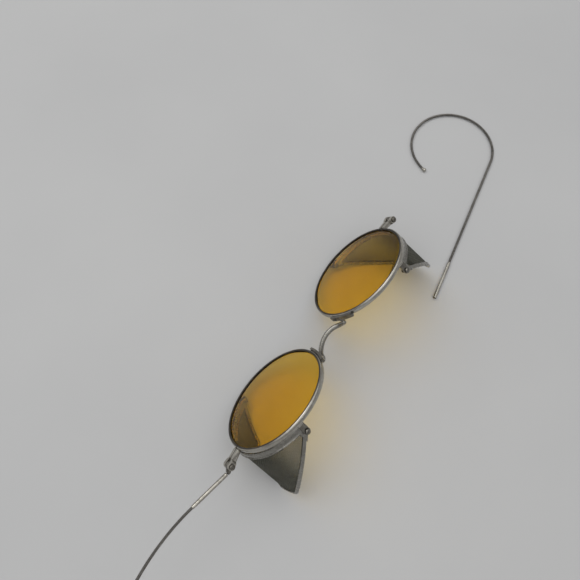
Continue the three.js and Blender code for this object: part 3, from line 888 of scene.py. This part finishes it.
def sleeve_profile(side):
    """A drawn tube with a rolled mouth and two crimps where it grips the cable."""
    end = -SLEEVE_LENGTH[side]
    outside = [
        (SLEEVE_BORE + 0.03, end),
        (SLEEVE_BORE + 0.1, end + 0.03),
        (SLEEVE_RADIUS - 0.07, end + 0.6),
        (SLEEVE_RADIUS - 0.02, end + 1.3),
    ]
    for crimp in SLEEVE_CRIMPS:
        for away, cut in ((-0.5, 0), (-0.3, 0.03), (0, 0.06), (0.3, 0.03), (0.5, 0)):
            outside.append((SLEEVE_RADIUS - 0.01 - cut, end + crimp + away))
    outside += [
        (SLEEVE_RADIUS - 0.01, -1.0),
        (SLEEVE_RADIUS - 0.05, -0.75),
        (SLEEVE_RADIUS, -0.45),
        (SLEEVE_RADIUS, -0.12),
        (SLEEVE_RADIUS - 0.05, -0.02),
        (SLEEVE_RADIUS - 0.12, 0.0),
    ]
    inside = [(SLEEVE_BORE + 0.02, -0.02), (SLEEVE_BORE, -0.1), (SLEEVE_BORE, end + 0.05)]
    return outside + inside + [outside[0]]


def ear_route(side, along):
    """A point after the sleeve: a gentle bend about the Y axis, straight back, then round the ear."""
    straight = STRAIGHT_LENGTH - SLEEVE_LENGTH[side]
    bent = min(along, BEND_LENGTH)
    half = math.radians(TEMPLE_BEND[side]) * bent / BEND_LENGTH / 2
    chord = bent * (math.sin(half) / half if half else 1.0)
    past = max(0.0, along - straight)
    angle = past / HOOK_RADIUS
    back = along - bent - past + HOOK_RADIUS * math.sin(angle)
    return (
        back * math.sin(2 * half) + chord * math.sin(half),
        HOOK_RADIUS * (math.cos(angle) - 1),
        -back * math.cos(2 * half) - chord * math.cos(half),
    )


def ear_length(side):
    return STRAIGHT_LENGTH - SLEEVE_LENGTH[side] + HOOK_RADIUS * math.radians(HOOK_SWEEP)


def core_mesh(side):
    """The cable's inner wire, from inside the sleeve to inside the tip's collar."""
    path = np.array([ear_route(side, s) for s in np.linspace(-0.4, ear_length(side) + 0.2, CORE_STEPS)])
    return tube(path, (1.0, 0.0, 0.0), CABLE_RADIUS - 1.5 * WINDING_WIRE, CORE_SIDES)


def winding_mesh(side):
    """Fine wire wound close round the core from the sleeve to the tip."""
    length = ear_length(side)
    turns = (length + WINDING_OVERLAP) / WINDING_PITCH
    runs = np.linspace(-WINDING_OVERLAP, length, int(turns * WINDING_STEPS))
    middle = np.array([ear_route(side, s) for s in runs])
    across, along = frames_along(middle, (1.0, 0.0, 0.0))
    angles = 2 * math.pi * runs / WINDING_PITCH
    spokes = np.cos(angles)[:, None] * across + np.sin(angles)[:, None] * along
    helix = middle + (CABLE_RADIUS - WINDING_WIRE) * spokes
    section = round_section(WINDING_WIRE, WINDING_WIRE * 1.05, WINDING_SIDES)
    return swept(helix, spokes, np.cross(across, along), section)


def tip_mesh(side):
    """A small cast ball with a collar that grips the winding's end."""
    radius = TIP_RADIUS
    arc = np.radians(np.linspace(30, 168, TIP_ARC_POINTS))
    ball = [(radius * math.sin(a), -radius * math.cos(a)) for a in arc]
    collar = [
        (0.0, -radius - 0.42),
        (0.5, -radius - 0.42),
        (0.6, -radius - 0.36),
        (0.62, -radius - 0.1),
        (0.52, -radius * 0.92),
    ]
    points, faces = lathe(collar + ball + [(0.0, radius)], TIP_SIDES)
    at = ear_length(side) + GAP + radius
    centre = np.array(ear_route(side, at))
    ahead = np.array(ear_route(side, at + 0.01)) - np.array(ear_route(side, at - 0.01))
    ahead /= np.linalg.norm(ahead)
    sideways = np.cross((0.0, 1.0, 0.0), ahead)
    sideways /= np.linalg.norm(sideways)
    up = np.cross(ahead, sideways)
    return outward(centre + points[:, :1] * sideways + points[:, 1:2] * up + points[:, 2:] * ahead, faces)


# Building

def soften(node, look, width):
    """A CAD node keeps its shape: its welded edges are rounded a little and it takes its material."""
    obj = frame["nodes"][node]
    obj.data.materials.clear()
    obj.data.materials.append(LOOKS[look])
    for polygon in obj.data.polygons:
        polygon.use_smooth = True
    weld = obj.modifiers.new("weld", "WELD")
    weld.merge_threshold = WELD_DISTANCE
    bevel = obj.modifiers.new("rounded", "BEVEL")
    bevel.width = width * MM
    bevel.segments = BEVEL_SEGMENTS
    bevel.limit_method = "ANGLE"
    bevel.angle_limit = math.radians(BEVEL_ANGLE)
    bevel.harden_normals = True


# CAD nodes of each side that are softened: their names, look and edge rounding
SOFTENED = (
    (("endpiece_upper", "endpiece_lower"), "nickel", 0.12),
    # The lugs take the darker tarnished metal as painted shade at the shield's corners
    (("brow_lug", "cheek_lug"), "dark_nickel", 0.12),
    (("shield_brow_tab", "shield_cheek_tab"), "binding", 0.1),
    (("bridge_foot", "hinge_screw"), "dark_nickel", 0.1),
)


def build_side(side):
    rim, corner, shield = lens_frame(side), corner_frame(side), shield_frame(side)
    body = f"{side}_shield"
    swing = SHIELD_SWING[side]
    # The eyewire's inner side takes painted shade beside the lens
    paint_lip_shade(place(f"{side}_eyewire_channel", eyewire_mesh(), rim, "frame", "nickel", [f"{side}_eyewire"]))
    place(f"{side}_glass", lathe(lens_profile(), LENS_SIDES), rim, "frame", "lens", [f"{side}_lens"])
    place(f"{side}_rim_solder", rim_seams(), rim, "frame", "dark_nickel")
    place(f"{side}_lug_solder", corner_seams(), corner, "frame", "nickel")
    for sign, where, tail in ((1, "brow", BROW_RIVET_TAIL[side]), (-1, "cheek", CHEEK_RIVET_TAIL)):
        rivet = rivet_mesh(sign, tail)
        place(f"{side}_{where}_domed_rivet", rivet, corner, "frame", "dark_nickel", [f"{side}_{where}_rivet"])
    for name, shape, slot, stands_for in (
        ("woven_gauze", gauze_mesh(swing), "gauze", "shield_gauze"),
        ("front_fold", front_binding_mesh(swing), "binding", "shield_front_binding"),
        ("rear_fold", rear_binding_mesh(), "binding", "shield_rear_binding"),
    ):
        place(f"{side}_{name}", shape, shield, body, slot, [f"{side}_{stands_for}"])
    for nodes, look, width in SOFTENED:
        for node in nodes:
            soften(f"{side}_{node}", look, width)


def build_temple(side, body, run):
    ear = run @ shift(0, 0, -SLEEVE_LENGTH[side])
    sleeve = lathe(sleeve_profile(side), SLEEVE_SIDES)
    place(f"{side}_drawn_sleeve", sleeve, run, body, "nickel", [f"{side}_temple_sleeve"])
    place(f"{side}_cable_winding", winding_mesh(side), ear, body, "cable", [f"{side}_temple_cable"])
    place(f"{side}_cable_core", core_mesh(side), ear, body, "dark_nickel")
    place(f"{side}_ball_tip", tip_mesh(side), ear, body, "nickel", [f"{side}_temple_tip"])


def build_object():
    build_side("right")
    build_side("left")
    saddle = place("bridge_saddle", bridge_mesh(), FACE, "frame", "dark_nickel", ["bridge_wire"])
    saddle.data.materials[0] = LOOKS["binding"]
    place("bridge_solder", bridge_seams(), FACE, "frame", "dark_nickel")
    build_temple("right", "right_temple", open_frame())
    build_temple("left", "loose_temple", loose_frame())
    soften("right_temple_butt", "dark_nickel", 0.1)
    soften("left_temple_eye", "dark_nickel", 0.1)


# Stage

def add_table():
    mesh = bpy.data.meshes.new("table")
    corners = [(x * TABLE_HALF, y * TABLE_HALF, 0) for x, y in ((-1, -1), (1, -1), (1, 1), (-1, 1))]
    mesh.from_pydata(corners, [], [(0, 1, 2, 3)])
    mesh.materials.append(pale_table("pale_table"))
    table = bpy.data.objects.new("table", mesh)
    table.location.z = -TABLE_DROP
    bpy.context.scene.collection.objects.link(table)


def add_sky():
    """A plain white dome, brightest overhead and dimmer towards the horizon."""
    world = bpy.data.worlds.new("studio")
    world.use_nodes = True
    tree = world.node_tree
    background = tree.nodes["Background"]
    direction = tree.nodes.new("ShaderNodeTexCoord")
    split = tree.nodes.new("ShaderNodeSeparateXYZ")
    ramp = tree.nodes.new("ShaderNodeValToRGB")
    tree.links.new(direction.outputs["Generated"], split.inputs[0])
    tree.links.new(split.outputs["Z"], ramp.inputs["Fac"])
    tree.links.new(ramp.outputs["Color"], background.inputs["Color"])
    fill_ramp(ramp.color_ramp, SKY_LEVELS)
    background.inputs["Strength"].default_value = 1.0
    bpy.context.scene.world = world


def add_key_light():
    """One soft lamp above and to the left, aimed at the middle of the object."""
    data = bpy.data.lights.new("key", "AREA")
    data.shape = "DISK"
    data.size = KEY_SIZE
    data.energy = KEY_WATTS
    data.color = KEY_COLOUR
    light = bpy.data.objects.new("key", data)
    light.location = KEY_AT
    light.rotation_euler = (-Vector(KEY_AT)).to_track_quat("-Z", "Y").to_euler()
    bpy.context.scene.collection.objects.link(light)


def add_camera():
    data = bpy.data.cameras.new("camera")
    data.sensor_width = CAMERA_SENSOR
    data.lens = CAMERA_LENS
    data.clip_start = CAMERA_NEAR
    camera = bpy.data.objects.new("camera", data)
    camera.location = (FACE.translation + Vector(CAMERA_FROM_BRIDGE)) * MM
    camera.rotation_euler = (math.radians(CAMERA_TILT), 0, 0)
    bpy.context.scene.collection.objects.link(camera)
    bpy.context.scene.camera = camera


add_camera()
build_object()
add_table()
add_sky()
add_key_light()
bpy.context.scene.view_settings.view_transform = "Standard"
bpy.context.view_layer.update()
